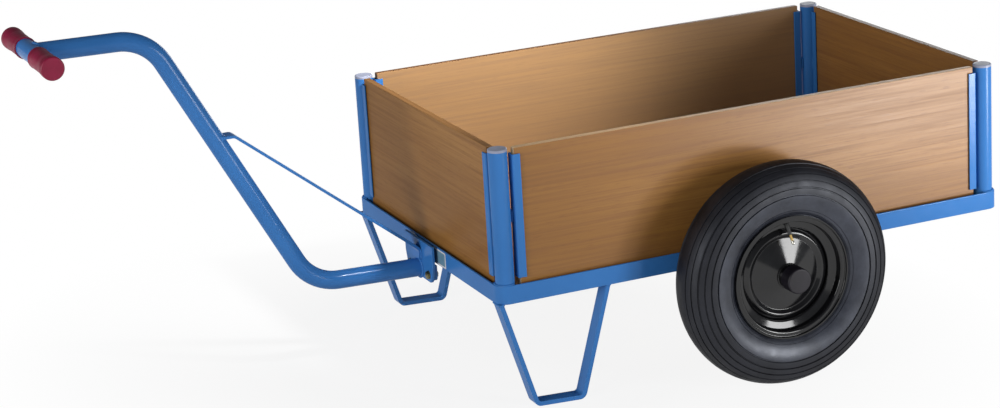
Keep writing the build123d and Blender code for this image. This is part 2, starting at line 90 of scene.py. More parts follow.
RISER_LEAN = RISER_AHEAD / RISER_RISE
STAY_TOP_Z = 286
STAY_TOP_X = 884.3
STAY_HALF = 15
STAY_THICKNESS = 5
STAY_FOOT_LOW = 2
STAY_FOOT_HIGH = 20
TYRE_RADIUS = 203
TYRE_WIDTH = 94
HUB_RADIUS = 21
DISC_HUB_OUT = 25.4
VALVE_OUT = 21.75
VALVE_RADIUS = 93.2
VALVE_LEAN = radians(52)

# Faces that meet at more than this angle keep a sharp edge, on the solids and on the added pieces
SOLID_SHARP = radians(28)
PIECE_SHARP = radians(40)


def leaning(place):
    """Carries millimetres of the level cart, measured from a place, over to the parked cart."""
    return Matrix.Translation(place) @ Matrix.Rotation(LEAN, 4, "Y") @ Matrix.Scale(MILLIMETRE, 4)


DECK = leaning(hub_middle) @ Matrix.Translation((-AXLE_X, 0, -AXLE_Z))


class Nodes:
    """The node tree of a material or a world, with short calls to add nodes and join them."""

    # Most values of a noise, and the turn of a face over which its shine changes
    NOISE_SPAN = (0.3, 0.7)
    FACING_SPAN = (0.25, 0.65)

    def __init__(self, holder):
        holder.use_nodes = True
        self.holder = holder
        self.tree = holder.node_tree
        self.shader = self.tree.nodes.get("Principled BSDF")

    def put(self, socket, value):
        """Joins a socket to another node's output, or sets its value."""
        if isinstance(value, bpy.types.NodeSocket):
            self.tree.links.new(value, socket)
        else:
            socket.default_value = value

    def add(self, kind, inputs=None, **settings):
        """A new node with its settings and inputs."""
        node = self.tree.nodes.new(kind)
        for name, value in settings.items():
            setattr(node, name, value)
        for name, value in (inputs or {}).items():
            self.put(node.inputs[name], value)
        return node

    def surface(self, **inputs):
        """Joins or sets inputs of the shader, with an underscore for each space in a name."""
        for name, value in inputs.items():
            self.put(self.shader.inputs[name.replace("_", " ")], value)

    def here(self):
        """Place on the piece, which goes along when the piece moves."""
        return self.add("ShaderNodeTexCoord").outputs["Object"]

    def stretch(self, vector, scale):
        """A place with its three directions scaled."""
        return self.add("ShaderNodeMapping", {"Vector": vector, "Scale": scale}).outputs["Vector"]

    def vector(self, operation, first, second=(0, 0, 0)):
        """A sum, product or measure of vectors."""
        node = self.add("ShaderNodeVectorMath", {0: first, 1: second}, operation=operation)
        return node.outputs["Value" if operation in ("DOT_PRODUCT", "LENGTH") else "Vector"]

    def noise(self, vector, scale, detail=3, roughness=0.5, warp=0):
        """A cloudy value between 0 and 1."""
        inputs = {
            "Vector": vector,
            "Scale": scale,
            "Detail": detail,
            "Roughness": roughness,
            "Distortion": warp,
        }
        return self.add("ShaderNodeTexNoise", inputs).outputs["Fac"]

    def spread(self, source, span, result):
        """Carries a span of values over to another span, and holds it at both ends."""
        inputs = {
            "Value": source,
            "From Min": span[0],
            "From Max": span[1],
            "To Min": result[0],
            "To Max": result[1],
        }
        return self.add("ShaderNodeMapRange", inputs).outputs["Result"]

    def uneven(self, noise, low, high):
        """A value that wanders between two limits."""
        return self.spread(noise, self.NOISE_SPAN, (low, high))

    def ramp(self, source, stops):
        """A colour by a value, from stops of position and colour."""
        node = self.add("ShaderNodeValToRGB", {"Fac": source})
        elements = node.color_ramp.elements
        for index, (position, colour) in enumerate((stops[0], stops[-1])):
            elements[index].position = position
            elements[index].color = (*colour, 1)
        for position, colour in stops[1:-1]:
            elements.new(position).color = (*colour, 1)
        return node.outputs["Color"]

    def shade(self, noise, deep, plain):
        """A colour that drifts between two shades."""
        low, high = self.NOISE_SPAN
        return self.ramp(noise, ((low, deep), (high, plain)))

    def mix(self, factor, first, second):
        """One colour over another by a factor."""
        node = self.add("ShaderNodeMix", data_type="RGBA")
        sockets = {socket.identifier: socket for socket in node.inputs}
        self.put(sockets["Factor_Float"], factor)
        for name, colour in (("A_Color", first), ("B_Color", second)):
            joined = isinstance(colour, bpy.types.NodeSocket)
            self.put(sockets[name], colour if joined else (*colour, 1))
        return next(socket for socket in node.outputs if socket.identifier == "Result_Color")

    def blend(self, factor, first, second):
        """A value between two others by a factor."""
        inputs = {"Factor": factor, "A": first, "B": second}
        return self.add("ShaderNodeMix", inputs, data_type="FLOAT").outputs["Result"]

    def gloss(self, square_on, edge_on):
        """Shine that changes from faces seen square on to faces seen edge on."""
        facing = self.add("ShaderNodeLayerWeight").outputs["Facing"]
        return self.spread(facing, self.FACING_SPAN, (square_on, edge_on))

    def bump(self, height, strength, distance, normal=None):
        """Fine relief from a height, laid on a rounded normal where one is given."""
        inputs = {"Height": height, "Strength": strength, "Distance": distance}
        if normal is not None:
            inputs["Normal"] = normal
        return self.add("ShaderNodeBump", inputs).outputs["Normal"]


def new_material(name):
    """The node tree of a new material."""
    return Nodes(bpy.data.materials.new(name))


def powder_coat(name, deep, plain, thin=None):
    """Sprayed paint with a slow drift of shade, thin on the rounded edges of bars and plates."""
    paint = new_material(name)
    where = paint.here()
    colour = paint.shade(paint.noise(where, scale=7, detail=4), deep, plain)
    rounded = None
    if thin:
        rounded = paint.add("ShaderNodeBevel", {"Radius": MILLIMETRE}, samples=8).outputs["Normal"]
        flat = paint.add("ShaderNodeNewGeometry").outputs["Normal"]
        flatness = paint.vector("DOT_PRODUCT", rounded, flat)
        colour = paint.mix(paint.spread(flatness, span=(0.99, 0.86), result=(0, 0.5)), colour, thin)
    waves = paint.noise(where, scale=30, detail=1)
    paint.surface(
        Base_Color=colour,
        Roughness=paint.uneven(paint.noise(where, scale=45, detail=2), low=0.15, high=0.22),
        Specular_IOR_Level=paint.gloss(square_on=0.18, edge_on=0.03),
        Normal=paint.bump(waves, strength=0.03, distance=0.0006, normal=rounded),
    )
    return paint.holder


# Beech veneer: how its figure, streaks and flecks are scaled along and across the grain, and its colours
FIGURE_SCALE = (1.3, 8, 8)
STREAK_SCALE = (4, 190, 190)
FLECK_SCALE = (40, 520, 520)
FIGURE_TONES = (
    (0.3, (0.262, 0.114, 0.025)),
    (0.5, (0.315, 0.142, 0.031)),
    (0.7, (0.372, 0.175, 0.042)),
)
STREAK_TONE = (0.225, 0.096, 0.026)
FLECK_TONE = (0.185, 0.074, 0.02)
# Paler tone over a board's face: slight tone difference on most boards, painted sheen on the far side board
PALE_AND_SHEEN_TONE = (0.34, 0.25, 0.16)
WORN_SHARE = 0.65
FLECK_RELIEF = 0.35


def beech(name, along, thickness, offset, edging, paleness_and_sheen):
    """Beech-faced board: a broad figure, fine streaks along the grain, dark flecks, coloured edges and a
    paler face tone. The near side board's edge colour is a painted highlight and the far side board's paler
    tone a painted sheen.
    """
    wood = new_material(name)
    turn = {"X": (0, -LEAN, 0), "Y": (0, -LEAN, pi / 2)}[along]
    inputs = {"Vector": wood.here(), "Rotation": turn, "Location": offset}
    where = wood.add("ShaderNodeMapping", inputs).outputs["Vector"]
    figure = wood.noise(wood.stretch(where, FIGURE_SCALE), scale=1, detail=3, roughness=0.55)
    streak = wood.noise(wood.stretch(where, STREAK_SCALE), scale=1, detail=3, roughness=0.6, warp=0.7)
    fleck = wood.noise(wood.stretch(where, FLECK_SCALE), scale=1, detail=1, roughness=0.4)
    lines = wood.spread(streak, span=(0.4, 0.66), result=(0, 0.75))
    dashes = wood.spread(fleck, span=(0.62, 0.74), result=(0, 0.4))
    grain = wood.mix(lines, wood.ramp(figure, FIGURE_TONES), STREAK_TONE)
    face = wood.mix(paleness_and_sheen, wood.mix(dashes, grain, FLECK_TONE), PALE_AND_SHEEN_TONE)
    normal = wood.add("ShaderNodeNewGeometry").outputs["Normal"]
    across = wood.vector("DOT_PRODUCT", normal, thickness)
    square_on = wood.add("ShaderNodeMath", {0: across}, operation="ABSOLUTE").outputs["Value"]
    edge = wood.spread(square_on, span=(0.8, 0.55), result=(0, 1))
    band = wood.shade(streak, edging, tuple(WORN_SHARE * part for part in edging))
    wood.surface(
        Base_Color=wood.mix(edge, face, band),
        Roughness=wood.uneven(streak, low=0.3, high=0.4),
        Specular_IOR_Level=wood.gloss(square_on=0.34, edge_on=0.03),
        Normal=wood.bump(wood.mix(FLECK_RELIEF, streak, fleck), strength=0.3, distance=0.0005),
    )
    return wood.holder


def moulded(name, deep, plain, rough, shine=(0.5, 0.3), grain=1400, relief=0.15):
    """Moulded plastic or lacquer: a fine grain, a slow drift of shade and uneven gloss."""
    plastic = new_material(name)
    where = plastic.here()
    plastic.surface(
        Base_Color=plastic.shade(plastic.noise(where, scale=35, detail=4), deep, plain),
        Roughness=plastic.uneven(plastic.noise(where, scale=120, detail=3), *rough),
        Specular_IOR_Level=plastic.gloss(*shine),
        Normal=plastic.bump(plastic.noise(where, scale=grain, detail=2), strength=relief, distance=0.0003),
    )
    return plastic.holder


# Tyre rubber: radii in metres between which the ribs give way to the plain wall, and the colours
RIBS_END = 0.1535
WALL_START = 0.151
RIB_TONES = (
    (0.34, (0.006, 0.006, 0.0075)),
    (0.68, (0.016, 0.0165, 0.021)),
)
# Wall colours lighter and bluer than the ribs: partly dust, partly a painted sheen
WALL_DUST_AND_SHEEN_TONES = (
    (0.34, (0.012, 0.013, 0.018)),
    (0.66, (0.04, 0.044, 0.058)),
)
DUST_TONE = (0.08, 0.08, 0.088)
COOL_SHINE = (0.86, 0.9, 1, 1)


def rubber(name):
    """Tyre rubber: dull black ribs, and smoother walls inside the last wide groove, lighter and bluer from
    dust and a painted sheen.
    """
    tyre = new_material(name)
    where = tyre.here()
    from_hub = tyre.vector("SUBTRACT", where, hub_middle)
    radius = tyre.vector("LENGTH", tyre.vector("MULTIPLY", from_hub, AHEAD + UP))
    wall = tyre.spread(radius, span=(RIBS_END, WALL_START), result=(0, 1))
    bloom = tyre.noise(where, scale=16, detail=8, roughness=0.7)
    colour = tyre.mix(wall, tyre.ramp(bloom, RIB_TONES), tyre.ramp(bloom, WALL_DUST_AND_SHEEN_TONES))
    specks = tyre.spread(tyre.noise(where, scale=420, detail=3), span=(0.64, 0.76), result=(0, 0.22))
    patches = tyre.noise(where, scale=45, detail=4)
    rib_rough = tyre.uneven(patches, low=0.42, high=0.55)
    wall_rough = tyre.uneven(patches, low=0.28, high=0.4)
    rib_shine = tyre.gloss(square_on=0.35, edge_on=0.06)
    wall_shine = tyre.gloss(square_on=0.48, edge_on=0.35)
    tyre.surface(
        Base_Color=tyre.mix(specks, colour, DUST_TONE),
        Roughness=tyre.blend(wall, rib_rough, wall_rough),
        Specular_IOR_Level=tyre.blend(wall, rib_shine, wall_shine),
        Specular_Tint=COOL_SHINE,
        Normal=tyre.bump(tyre.noise(where, scale=700, detail=3), strength=0.15, distance=0.0004),
    )
    return tyre.holder


def metal(name, deep, plain, rough):
    """Bare or plated metal: a mottled shade, small pits and uneven gloss."""
    plate = new_material(name)
    where = plate.here()
    plate.surface(
        Base_Color=plate.shade(plate.noise(where, scale=220, detail=4), deep, plain),
        Metallic=1,
        Roughness=plate.uneven(plate.noise(where, scale=500, detail=3), *rough),
        Normal=plate.bump(plate.noise(where, scale=1500, detail=2), strength=0.2, distance=0.0002),
    )
    return plate.holder


# Finishes: deep and plain shade, the limits of roughness, shine seen square on and edge on, grain and relief
BLUE_DEEP = (0.038, 0.175, 0.48)
BLUE_PLAIN = (0.047, 0.2, 0.53)
BLUE_THIN = (0.085, 0.26, 0.61)
BLUE = powder_coat("blue_paint", BLUE_DEEP, BLUE_PLAIN, BLUE_THIN)
BLUE_TUBE = powder_coat("blue_tube", BLUE_DEEP, BLUE_PLAIN)
GREY = moulded("grey_plug", (0.27, 0.29, 0.38), (0.36, 0.385, 0.49), (0.4, 0.5), shine=(0.4, 0.2))
RED = moulded(
    "red_grip", (0.2, 0.006, 0.032), (0.28, 0.009, 0.05), (0.34, 0.42),
    shine=(0.34, 0.04), grain=240, relief=0.04,
)
RUBBER = rubber("tyre_rubber")
RIM = moulded(
    "black_rim", (0.003, 0.003, 0.0035), (0.006, 0.006, 0.007), (0.09, 0.13),
    shine=(0.5, 0.25), grain=260, relief=0.02,
)
CAP = moulded("black_cap", (0.007, 0.006, 0.009), (0.014, 0.012, 0.017), (0.4, 0.5), shine=(0.25, 0.1))
STEM = moulded("valve_rubber", (0.008, 0.008, 0.008), (0.014, 0.014, 0.014), (0.4, 0.5))
BRASS = metal("brass_valve", (0.48, 0.33, 0.12), (0.72, 0.54, 0.22), (0.22, 0.34))
ZINC = metal("zinc_bolt", (0.1, 0.09, 0.04), (0.2, 0.18, 0.09), (0.34, 0.5))
CHROME = metal("valve_cap", (0.5, 0.48, 0.42), (0.72, 0.7, 0.62), (0.2, 0.32))
LABEL = moulded(
    "blank_label", (0.62, 0.62, 0.63), (0.74, 0.73, 0.73), (0.3, 0.4),
    grain=500, relief=0.05,
)
FIELD = moulded(
    "blank_label_field", (0.12, 0.24, 0.33), (0.17, 0.31, 0.4), (0.32, 0.42),
    grain=500, relief=0.05,
)
STEEL = metal("bare_steel", (0.25, 0.25, 0.26), (0.42, 0.42, 0.43), (0.32, 0.46))

# Boards: node, grain direction, thickness direction, where its veneer was cut, edge colour, how pale it is
DARK_EDGE = (0.2, 0.09, 0.035)
# Pale edge colour: a painted highlight along the near side board's edges
HIGHLIGHT_EDGE = (0.8, 0.56, 0.32)
BROWN_EDGE = (0.29, 0.14, 0.045)
deck_ahead = (cos(LEAN), 0, -sin(LEAN))
BOARDS = (
    # The near side board's pale edges are a painted highlight
    ("side_board_left", "X", LEFT, (0.31, 0.7, 0.2), HIGHLIGHT_EDGE, 0.02),
    # The far side board's high paleness is a painted sheen on its face
    ("side_board_right", "X", LEFT, (2.17, 1.9, 0.63), DARK_EDGE, 0.42),
    ("end_board_front", "Y", deck_ahead, (4.4, 3.1, 1.37), BROWN_EDGE, 0.05),
    ("end_board_rear", "Y", deck_ahead, (6.9, 0.35, 2.21), DARK_EDGE, 0.1),
    ("floor_board", "X", LIFT, (9.3, 5.2, 3.4), DARK_EDGE, 0.1),
)
finish_of = {}
for name, along, thickness, offset, edging, paleness_and_sheen in BOARDS:
    finish_of[name] = beech(f"beech_{name}", along, thickness, offset, edging, paleness_and_sheen)

# Finish of the other nodes by the start of their name, blue paint where none fits
NAME_STARTS = (
    ("post_cap", GREY),
    ("post_", BLUE_TUBE),
    ("drawbar_flange", BLUE),
    ("drawbar", BLUE_TUBE),
    ("stay", BLUE_TUBE),
    ("handle_tube", BLUE_TUBE),
    ("grip", RED),
    ("tyre", RUBBER),
    ("rim", RIM),
    ("hub_cap", CAP),
    ("hub", RIM),
    ("valve", BRASS),
    ("axle", STEEL),
)
for name, node in nodes.items():
    if name not in finish_of:
        finish_of[name] = next((finish for start, finish in NAME_STARTS if name.startswith(start)), BLUE)
    node.data.materials.clear()
    node.data.materials.append(finish_of[name])
    node.data.polygons.foreach_set("use_smooth", [True] * len(node.data.polygons))
    node.data.set_sharp_from_angle(angle=SOLID_SHARP)


def piece(name, mesh, finishes, body, place=DECK):
    """Turns a bmesh into a named piece on a body of the cart."""
    bmesh.ops.recalc_face_normals(mesh, faces=mesh.faces)
    data = bpy.data.meshes.new(name)
    mesh.to_mesh(data)
    mesh.free()
    data.transform(place)
    data.polygons.foreach_set("use_smooth", [True] * len(data.polygons))
    data.set_sharp_from_angle(angle=PIECE_SHARP)
    for finish in finishes:
        data.materials.append(finish)
    thing = bpy.data.objects.new(name, data)
    scene.collection.objects.link(thing)
    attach(thing, body)
    return thing


def lathe(mesh, section, start, axis, across, steps, closed=False, finish=0):
    """Turns a section of (distance along the axis, radius) about the axis, from a direction across it."""
    third = axis.cross(across)
    rings = []
    for step in range(steps):
        turn = 2 * pi * step / steps
        out = across * cos(turn) + third * sin(turn)
        ring = [mesh.verts.new(start + axis * along + out * radius) for along, radius in section]
        rings.append(ring)
    count = len(section)
    faces = []
    for step in range(steps):
        this, other = rings[step], rings[(step + 1) % steps]
        for spot in range(count if closed else count - 1):
            after = (spot + 1) % count
            faces.append(mesh.faces.new((this[spot], this[after], other[after], other[spot])))
    if not closed:
        for spot in (0, count - 1):
            faces.append(mesh.faces.new([ring[spot] for ring in rings]))
    for face in faces:
        face.material_index = finish


def bead(mesh, points, radius, closed=False, sides=8, ripple=0.16, pitch=3.2, tip=0.35):
    """A weld bead along points: a small round section that swells and shrinks like laid drops."""
    points = [Vector(point) for point in points]
    count = len(points)
    rings = []
    travelled = 0
    for spot, point in enumerate(points):
        before = points[spot - 1] if spot or closed else point
        after = points[(spot + 1) % count] if spot < count - 1 or closed else point
        travelled += (point - points[spot - 1]).length if spot else 0
        ahead = (after - before).normalized()
        first = ahead.orthogonal().normalized()
        second = ahead.cross(first)
        swell = radius * (1 + ripple * sin(2 * pi * travelled / pitch))
        if not closed and spot in (0, count - 1):
            swell = radius * tip
        ring = []
        for side in range(sides):
            turn = 2 * pi * side / sides
            ring.append(mesh.verts.new(point + (first * cos(turn) + second * sin(turn)) * swell))
        rings.append(ring)
    for spot in range(count if closed else count - 1):
        this, other = rings[spot], rings[(spot + 1) % count]
        shift = min(range(sides), key=lambda step: (this[0].co - other[step].co).length)
        other = other[shift:] + other[:shift]
        for side in range(sides):
            after = (side + 1) % sides
            mesh.faces.new((this[side], this[after], other[after], other[side]))
    if not closed:
        mesh.faces.new(rings[0])
        mesh.faces.new(rings[-1])


def straight(start, end, step=0.8, fewest=3):
    """Points spaced along a line."""
    start, end = Vector(start), Vector(end)
    count = max(fewest, int((end - start).length / step))
    return [start.lerp(end, spot / count) for spot in range(count + 1)]


def circle(middle, radius, first, second, count):
    """Points round a circle that two directions span."""
    turns = [2 * pi * step / count for step in range(count)]
    return [middle + first * (radius * cos(turn)) + second * (radius * sin(turn)) for turn in turns]


def arc_through(first, middle, last, count):
    """Points on the arc through three points of a plane."""
    (ax, ay), (bx, by), (cx, cy) = first, middle, last
    twist = 2 * (ax * (by - cy) + bx * (cy - ay) + cx * (ay - by))
    a2, b2, c2 = ax * ax + ay * ay, bx * bx + by * by, cx * cx + cy * cy
    centre_x = (a2 * (by - cy) + b2 * (cy - ay) + c2 * (ay - by)) / twist
    centre_y = (a2 * (cx - bx) + b2 * (ax - cx) + c2 * (bx - ax)) / twist
    radius = hypot(ax - centre_x, ay - centre_y)
    start = atan2(ay - centre_y, ax - centre_x)
    through = (atan2(by - centre_y, bx - centre_x) - start) % (2 * pi)
    finish = (atan2(cy - centre_y, cx - centre_x) - start) % (2 * pi)
    if through > finish:
        finish -= 2 * pi
    turns = [start + finish * spot / count for spot in range(count + 1)]
    return [(centre_x + radius * cos(turn), centre_y + radius * sin(turn)) for turn in turns]


def rounded_plate(mesh, low, high, back, front, corner, finish, corner_points=6):
    """A thin plate across X with rounded corners, between a low and a high (Y, Z) corner."""
    rim = []
    for toward_y, toward_z, first_turn in ((1, 1, 0), (-1, 1, 90), (-1, -1, 180), (1, -1, 270)):
        middle_y = high[0] - corner if toward_y > 0 else low[0] + corner
        middle_z = high[1] - corner if toward_z > 0 else low[1] + corner
        for step in range(corner_points):
            turn = radians(first_turn + 90 * step / (corner_points - 1))
            rim.append((middle_y + corner * cos(turn), middle_z + corner * sin(turn)))
    below = [mesh.verts.new((back, y, z)) for y, z in rim]
    above = [mesh.verts.new((front, y, z)) for y, z in rim]
    faces = [mesh.faces.new(below), mesh.faces.new(above)]
    for spot in range(len(rim)):
        after = (spot + 1) % len(rim)
        faces.append(mesh.faces.new((below[spot], below[after], above[after], above[spot])))
    for face in faces:
        face.material_index = finish


# Ribbed tyres: the plain outline with grooves cut into it, measured along the outline from the crown
HEEL = 31.7
HEEL_RADIUS = 112.3
BULGE_RADIUS = 157.65
SHOULDER_X = 36
SHOULDER_RADIUS = 190
TYRE_WALL = 9
BEAD_RADIUS = 101.9
TYRE_STEPS = 144
OUTLINE_STEPS = 320
PLAIN_STEP = 2.5
# Grooves: distance from the crown, half width, depth
GROOVES = (
    (17.0, 1.3, 1.6),
    (29.5, 1.3, 1.8),
    (42.5, 1.4, 2.0),
    (54.5, 1.4, 2.0),
    (66.5, 1.6, 2.2),
    (79.5, 1.7, 2.4),
    (110.5, 0.8, 0.9),
    (116.5, 0.8, 0.9),
)
# Share of a groove's width that its floor takes, and the strip beside it that holds no other points
GROOVE_FLOOR = 0.5
GROOVE_MARGIN = 0.3
shoulder = (SHOULDER_X, SHOULDER_RADIUS)
far_shoulder = (-SHOULDER_X, SHOULDER_RADIUS)
crown = arc_through(far_shoulder, (0, TYRE_RADIUS), shoulder, OUTLINE_STEPS)[OUTLINE_STEPS // 2:]
wall = arc_through(shoulder, (TYRE_WIDTH / 2, BULGE_RADIUS), (HEEL, HEEL_RADIUS), OUTLINE_STEPS)
outline = crown + wall[1:]
runs = [0]
for here, after in zip(outline, outline[1:]):
    runs.append(runs[-1] + hypot(after[0] - here[0], after[1] - here[1]))


def on_outline(run, depth):
    """Point at a run along the tyre's outline, sunk below it by a depth."""
    spot = min(range(len(runs)), key=lambda index: abs(runs[index] - run))
    before = outline[max(spot - 1, 0)]
    after = outline[min(spot + 1, len(outline) - 1)]
    length = hypot(after[0] - before[0], after[1] - before[1])
    across = ((after[1] - before[1]) / length, -(after[0] - before[0]) / length)
    return (outline[spot][0] + across[0] * depth, outline[spot][1] + across[1] * depth)


marks = []
for place, half, depth in GROOVES:
    floor_half = half * GROOVE_FLOOR
    marks += [(place - half, 0), (place - floor_half, depth), (place + floor_half, depth), (place + half, 0)]
plain_run = 0
while plain_run < runs[-1]:
    if all(abs(plain_run - place) > half + GROOVE_MARGIN for place, half, depth in GROOVES):
        marks.append((plain_run, 0))
    plain_run += PLAIN_STEP
marks.append((runs[-1], 0))
ribbed = [on_outline(run, depth) for run, depth in sorted(marks)]
inner = [
    (HEEL, BEAD_RADIUS),
    (HEEL - TYRE_WALL, BEAD_RADIUS),
    (HEEL - TYRE_WALL, HEEL_RADIUS),
    (TYRE_WIDTH / 2 - TYRE_WALL, BULGE_RADIUS),
    (SHOULDER_X - TYRE_WALL, SHOULDER_RADIUS - TYRE_WALL),
    (0, TYRE_RADIUS - TYRE_WALL),
]
half_section = ribbed + inner
tyre_section = half_section + [(-out, radius) for out, radius in reversed(half_section[1:-1])]

# Valve, as distance along it from the rim and radius: rubber foot, brass thread and a small cap
VALVE_FOOT = ((-7, 4.2), (6, 4.2), (7.5, 3.4), (19, 3.2), (20, 2.6))
VALVE_CAP = ((31, 2.4), (31.6, 2.9), (37, 2.7), (38, 2))
VALVE_FOOT_STEPS = 20
VALVE_STEPS = 16
THREAD_START = 20
THREAD_END = 31
THREAD_TURNS = 10
THREAD_PITCH = 1
THREAD_ROOT = 2.2
THREAD_CREST = 2.6
valve_thread = [(THREAD_START, THREAD_ROOT)]
for turn in range(THREAD_TURNS):
    root_at = THREAD_START + (turn + 0.5) * THREAD_PITCH
    crest_at = THREAD_START + (turn + 1) * THREAD_PITCH
    valve_thread += [(root_at, THREAD_ROOT), (crest_at, THREAD_CREST)]
valve_thread.append((THREAD_END, THREAD_ROOT))

# Weld between each hub and its pressed disc. Here and below a bead's size is its radius, and OFF is how far
# its middle line stands off the faces that it joins
HUB_BEAD = 1.8
HUB_BEAD_OFF = 0.6
HUB_BEAD_POINTS = 160

for side, aside, hub in SIDES:
    wheel = leaning(hub)
    outward = LEFT * aside

    mesh = bmesh.new()
    lathe(mesh, tyre_section, Vector(), outward, UP, TYRE_STEPS, closed=True)
    ribbed_tyre = piece(f"ribbed_tyre_{side}", mesh, [RUBBER], f"{side}_wheel", wheel)
    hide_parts(f"tyre_{side}")

    mesh = bmesh.new()
    root = outward * VALVE_OUT + UP * VALVE_RADIUS
    stem = outward * cos(VALVE_LEAN) - UP * sin(VALVE_LEAN)
    lathe(mesh, VALVE_FOOT, root, stem, AHEAD, VALVE_FOOT_STEPS, finish=1)
    lathe(mesh, valve_thread, root, stem, AHEAD, VALVE_STEPS)
    lathe(mesh, VALVE_CAP, root, stem, AHEAD, VALVE_STEPS, finish=2)
    valve_finishes = [BRASS, STEM, CHROME]
    valve = piece(f"threaded_valve_{side}", mesh, valve_finishes, f"{side}_wheel", wheel)
    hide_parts(f"valve_{side}")

    mesh = bmesh.new()
    ring = circle(outward * DISC_HUB_OUT, HUB_RADIUS + HUB_BEAD_OFF, AHEAD, UP, HUB_BEAD_POINTS)
    bead(mesh, ring, HUB_BEAD, closed=True)
    piece(f"hub_weld_{side}", mesh, [RIM], f"{side}_wheel", wheel)

# Welds of the posts: a seam round the foot on the frame's top edge, and both sides of each channel tab
POST_BEAD = 1.9
SEAM_OFF = 1.1
SEAM_HALF_TURN = 80
SEAM_POINTS = 70
TAB_OFF = 2.2
TAB_SIDE = 3.7
mesh = bmesh.new()
for ahead in (1, -1):
    for aside in (1, -1):
        middle = Vector((ahead * POST_X, aside * POST_Y, 0))
        corner = atan2(aside, ahead)
        reach = POST_RADIUS + SEAM_OFF
        seam = []
        for step in range(SEAM_POINTS):
            turn = corner + radians(SEAM_HALF_TURN * (2 * step / (SEAM_POINTS - 1) - 1))
            seam.append(middle + Vector((reach * cos(turn), reach * sin(turn), ANGLE_LEG)))
        bead(mesh, seam, POST_BEAD)
        for along, across in ((AHEAD * -ahead, LEFT), (LEFT * -aside, AHEAD)):
            for edge in (1, -1):
                foot = middle + along * (POST_RADIUS + TAB_OFF) + across * TAB_SIDE * edge
                bottom = foot + UP * (WELD_TAB_MIDDLE - WELD_TAB_HALF)
                top = foot + UP * (WELD_TAB_MIDDLE + WELD_TAB_HALF)
                bead(mesh, straight(bottom, top), POST_BEAD)
piece("post_welds", mesh, [BLUE], "chassis")

# Welds under the frame: round the tops of the legs, along the axle and across the ends of the floor braces
LEG_BEAD = 1.9
LEG_BEAD_OFF = 0.6
AXLE_BEAD = 2.2
AXLE_BEAD_DROP = 0.8
AXLE_BEAD_INSET = 2
BRACE_BEAD = 1.5
BRACE_BEAD_OFF = 0.3
mesh = bmesh.new()
for aside in (1, -1):
    outer_y = aside * LEG_SIDE
    inner_y = aside * (LEG_SIDE - LEG_WIDTH)
    for ahead in (1, -1):
        outer_x = LEG_X + ahead * (LEG_TOP_HALF - LEG_BEAD_OFF)
        inner_x = LEG_X + ahead * (LEG_TOP_HALF - LEG_THICKNESS - LEG_BEAD_OFF)
        corners = [(outer_x, outer_y), (inner_x, outer_y), (inner_x, inner_y), (outer_x, inner_y)]
        corners.append(corners[0])
        for here, after in zip(corners, corners[1:]):
            bead(mesh, straight((*here, -LEG_BEAD_OFF), (*after, -LEG_BEAD_OFF)), LEG_BEAD)
        axle_edge = AXLE_X + ahead * AXLE_HALF
        axle_outer = (axle_edge, aside * (FRAME_SIDE - AXLE_BEAD_INSET), -AXLE_BEAD_DROP)
        axle_inner = (axle_edge, aside * (FRAME_SIDE - ANGLE_LEG), -AXLE_BEAD_DROP)
        bead(mesh, straight(axle_outer, axle_inner), AXLE_BEAD)
        brace_end = aside * (FRAME_SIDE - ANGLE_LEG - BRACE_BEAD_OFF)
        brace_back = (ahead * BRACE_X - BRACE_HALF, brace_end, 0)
        brace_front = (ahead * BRACE_X + BRACE_HALF, brace_end, 0)
        bead(mesh, straight(brace_back, brace_front), BRACE_BEAD)
piece("underside_welds", mesh, [BLUE], "chassis")

# Welds of the drawbar: at the flange plate, the cross handle and both ends of the stay
FOOT_BEAD = 2.3
FOOT_BEAD_OFF = 0.9
FOOT_BEAD_AHEAD = 0.6
FOOT_BEAD_POINTS = 120
SADDLE_BEAD = 2.0
SADDLE_BEAD_OFF = 0.5
SADDLE_BEAD_BACK = 0.8
SADDLE_BEAD_POINTS = 140
TAB_BEAD = 1.7
TAB_BEAD_OFF = 0.4
TAB_BEAD_SLACK = 0.5
TAB_BEAD_POINTS = 40
STAY_BEAD = 1.8
STAY_BEAD_OFF = 0.3
STAY_BEAD_AHEAD = 0.8
mesh = bmesh.new()
foot = Vector((PLATE_FRONT + FOOT_BEAD_AHEAD, 0, BAR_FOOT_Z))
foot_ring = circle(foot, BAR_RADIUS + FOOT_BEAD_OFF, LEFT, UP, FOOT_BEAD_POINTS)
bead(mesh, foot_ring, FOOT_BEAD, closed=True)

handle = Vector((HANDLE_X, 0, HANDLE_Z))
rise = atan2(HANDLE_Z - BAR_SHOULDER_Z, HANDLE_X - BAR_SHOULDER_X)
run_way = Vector((cos(rise), 0, sin(rise)))
run_up = Vector((-sin(rise), 0, cos(rise)))
reach = BAR_RADIUS + SADDLE_BEAD_OFF
saddle = []
for step in range(SADDLE_BEAD_POINTS):
    turn = 2 * pi * step / SADDLE_BEAD_POINTS
    climb = reach * sin(turn)
    back = sqrt(max(0, (BAR_RADIUS + SADDLE_BEAD_BACK) ** 2 - climb ** 2))
    saddle.append(handle - run_way * back + run_up * climb + LEFT * (reach * cos(turn)))
bead(mesh, saddle, SADDLE_BEAD, closed=True)

